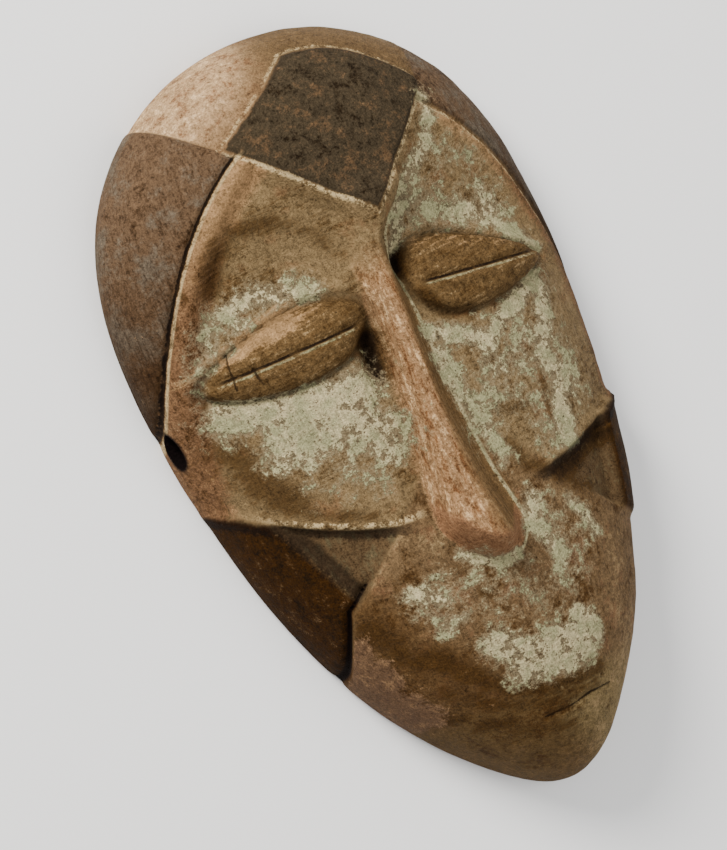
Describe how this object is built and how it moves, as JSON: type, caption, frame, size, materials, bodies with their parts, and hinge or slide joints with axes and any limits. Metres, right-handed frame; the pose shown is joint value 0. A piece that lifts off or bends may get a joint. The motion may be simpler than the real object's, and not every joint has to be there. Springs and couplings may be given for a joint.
{
  "type": "miniature mask",
  "caption": "Small carved wooden face mask with narrow eyes, a long nose, dark panels and white clay, lying face up on its rim, hollow behind",
  "frame": {"origin": "middle of the mask's outline, in the plane of the rim it lies on", "axes": "+X to the right of someone who looks at the face, +Y to the top of the head, +Z out of the face"},
  "size_m": [0.0753, 0.13, 0.0292],
  "materials": {
    "wood": "matt"
  },
  "bodies": {
    "root": {"mask": "wood"}
  },
  "joints": []
}
